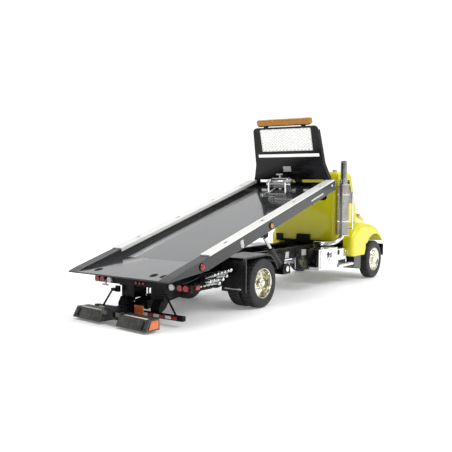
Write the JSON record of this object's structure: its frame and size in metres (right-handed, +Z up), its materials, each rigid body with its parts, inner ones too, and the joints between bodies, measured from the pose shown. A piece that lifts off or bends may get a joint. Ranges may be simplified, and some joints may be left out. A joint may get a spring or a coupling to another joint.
{
  "type": "toy rollback tow truck",
  "caption": "Toy rollback car carrier: tilting and sliding flatbed with winch and headboard on a cab chassis, lift cylinders, tilting hood and rear wheel lift with swinging cradles.",
  "frame": {"origin": "on the ground under the middle of the whole model", "axes": "+X forward along the truck, +Y to the driver's side, +Z up"},
  "size_m": [0.2902, 0.0732, 0.1221],
  "materials": {
    "chassis_black": "satin",
    "gloss_black": "gloss",
    "bumper_black": "gloss",
    "deck_paint": "gloss",
    "cylinder_black": "satin",
    "cradle_grey": "satin",
    "yellow_paint": "gloss",
    "chrome": "polished",
    "rim_metal": "polished",
    "bright_strip": "satin",
    "mesh_steel": "satin",
    "bright_steel": "bright",
    "shield_steel": "satin",
    "engine_grey": "satin",
    "tyre_rubber": "matte",
    "flap_rubber": "satin",
    "interior_plastic": "matte",
    "window_glass": "clear",
    "amber_lens": "gloss",
    "red_lens": "gloss",
    "clear_lens": "gloss"
  },
  "bodies": {
    "chassis": {"chassis_frame": "chassis_black", "tail_frame": "chassis_black", "pivot_pins": "bright_steel", "rear_axle_housing": "chassis_black", "front_axle_beam": "chassis_black", "rear_fenders": "gloss_black", "mud_flaps": "flap_rubber", "front_bumper": "bumper_black", "engine": "engine_grey", "tail_lamp_bar": "chassis_black", "tail_lamps": "red_lens", "reverse_lamps": "clear_lens", "underride_bar": "chassis_black", "control_valves": "chassis_black", "control_levers": "chrome", "toolboxes": "chrome", "step_tanks": "chrome", "cab_mounts": "chassis_black", "cab_shell": "yellow_paint", "cab_glass": "window_glass", "cab_interior": "interior_plastic", "roof_lamps": "chrome", "exhaust_stack": "chrome", "exhaust_shield": "shield_steel", "grab_handles": "chrome", "underlift_cylinder": "chassis_black"},
    "hood": {"hood": "yellow_paint", "grille": "chrome", "head_lamps": "clear_lens", "hood_side_lamps": "amber_lens"},
    "rear_wheels": {"rear_axle": "bright_steel", "rear_wheel_left": "rim_metal", "rear_wheel_right": "rim_metal", "rear_tyres": "tyre_rubber"},
    "front_wheels": {"front_axle": "bright_steel", "front_wheel_left": "rim_metal", "front_wheel_right": "rim_metal", "front_tyres": "tyre_rubber"},
    "tilt_frame": {"tilt_frame": "chassis_black", "slide_cylinder": "chassis_black"},
    "deck": {"deck": "deck_paint", "deck_edge_strips": "bright_strip", "headboard": "gloss_black", "headboard_mesh": "mesh_steel", "light_bar_base": "chassis_black", "light_bar_lens": "amber_lens", "deck_marker_lamps": "amber_lens", "winch_frame": "chrome", "cable_and_hook": "bright_steel", "slide_rod": "bright_steel"},
    "winch_drum": {"winch_drum": "chrome"},
    "winch_lever": {"winch_lever": "chrome"},
    "lift_barrels": {"lift_barrels": "cylinder_black"},
    "lift_rods": {"lift_rods": "bright_steel"},
    "underlift_boom": {"underlift_boom": "chassis_black"},
    "inner_boom": {"inner_boom": "chassis_black"},
    "underlift_head": {"underlift_head": "chassis_black"},
    "cradle_left": {"wheel_cradle_left": "cradle_grey"},
    "cradle_right": {"wheel_cradle_right": "cradle_grey"},
    "underlift_rod": {"underlift_rod": "bright_steel"}
  },
  "joints": [
    {"name": "rear_wheels_spin", "type": "hinge", "parent": "chassis", "child": "rear_wheels", "pos_m": [-0.04685, 0, 0.015], "axis": [0, 1, 0], "continuous": true},
    {"name": "front_wheels_spin", "type": "hinge", "parent": "chassis", "child": "front_wheels", "pos_m": [0.12165, 0, 0.015], "axis": [0, 1, 0], "continuous": true},
    {"name": "hood_tilt", "type": "hinge", "parent": "chassis", "child": "hood", "pos_m": [0.14165, 0, 0.0285], "axis": [0, 1, 0], "range_deg": [0, 60]},
    {"name": "bed_tilt", "type": "hinge", "parent": "chassis", "child": "tilt_frame", "pos_m": [-0.08535, 0, 0.0285], "axis": [0, 1, 0], "range_deg": [0, 15.6]},
    {"name": "bed_slide", "type": "slide", "parent": "tilt_frame", "child": "deck", "axis": [0.9632, 0, 0.2689], "range_m": [-0.095, 0.005]},
    {"name": "winch_spin", "type": "hinge", "parent": "deck", "child": "winch_drum", "pos_m": [0.03322, 0, 0.07492], "axis": [0, 1, 0], "continuous": true},
    {"name": "winch_lever_swing", "type": "hinge", "parent": "deck", "child": "winch_lever", "pos_m": [0.03202, 0, 0.07921], "axis": [-0.2689, 0, 0.9632], "range_deg": [-45, 45]},
    {"name": "lift_barrels_swing", "type": "hinge", "parent": "chassis", "child": "lift_barrels", "pos_m": [0.00515, 0, 0.0175], "axis": [0, 1, 0], "range_deg": [-28, 0]},
    {"name": "lift_rods_slide", "type": "slide", "parent": "lift_barrels", "child": "lift_rods", "axis": [-0.732, 0, 0.6813], "range_m": [-0.0102, 0]},
    {"name": "underlift_tilt", "type": "hinge", "parent": "chassis", "child": "underlift_boom", "pos_m": [-0.06685, 0, 0.014], "axis": [0, 1, 0], "range_deg": [0, 4]},
    {"name": "underlift_rod_slide", "type": "slide", "parent": "chassis", "child": "underlift_rod", "axis": [0, 0, 1], "range_m": [0, 0.0032]},
    {"name": "underlift_extend", "type": "slide", "parent": "underlift_boom", "child": "inner_boom", "axis": [-0.9936, 0, -0.1132], "range_m": [0, 0.022]},
    {"name": "underlift_swivel", "type": "hinge", "parent": "inner_boom", "child": "underlift_head", "pos_m": [-0.13243, 0, 0.00653], "axis": [0, 0, 1], "range_deg": [-8, 22]},
    {"name": "cradle_left_swing", "type": "hinge", "parent": "underlift_head", "child": "cradle_left", "pos_m": [-0.13705, 0.00501, 0.00653], "axis": [0, 0, 1], "range_deg": [0, 45]},
    {"name": "cradle_right_swing", "type": "hinge", "parent": "underlift_head", "child": "cradle_right", "pos_m": [-0.13813, -0.00372, 0.00653], "axis": [0, 0, -1], "range_deg": [0, 45]}
  ],
  "couplings": [
    {"joint": "lift_barrels_swing", "follows": "bed_tilt", "ratio": -1.773},
    {"joint": "lift_rods_slide", "follows": "bed_tilt", "m_per_rad": -0.0358},
    {"joint": "underlift_rod_slide", "follows": "underlift_tilt", "m_per_rad": 0.0441}
  ]
}
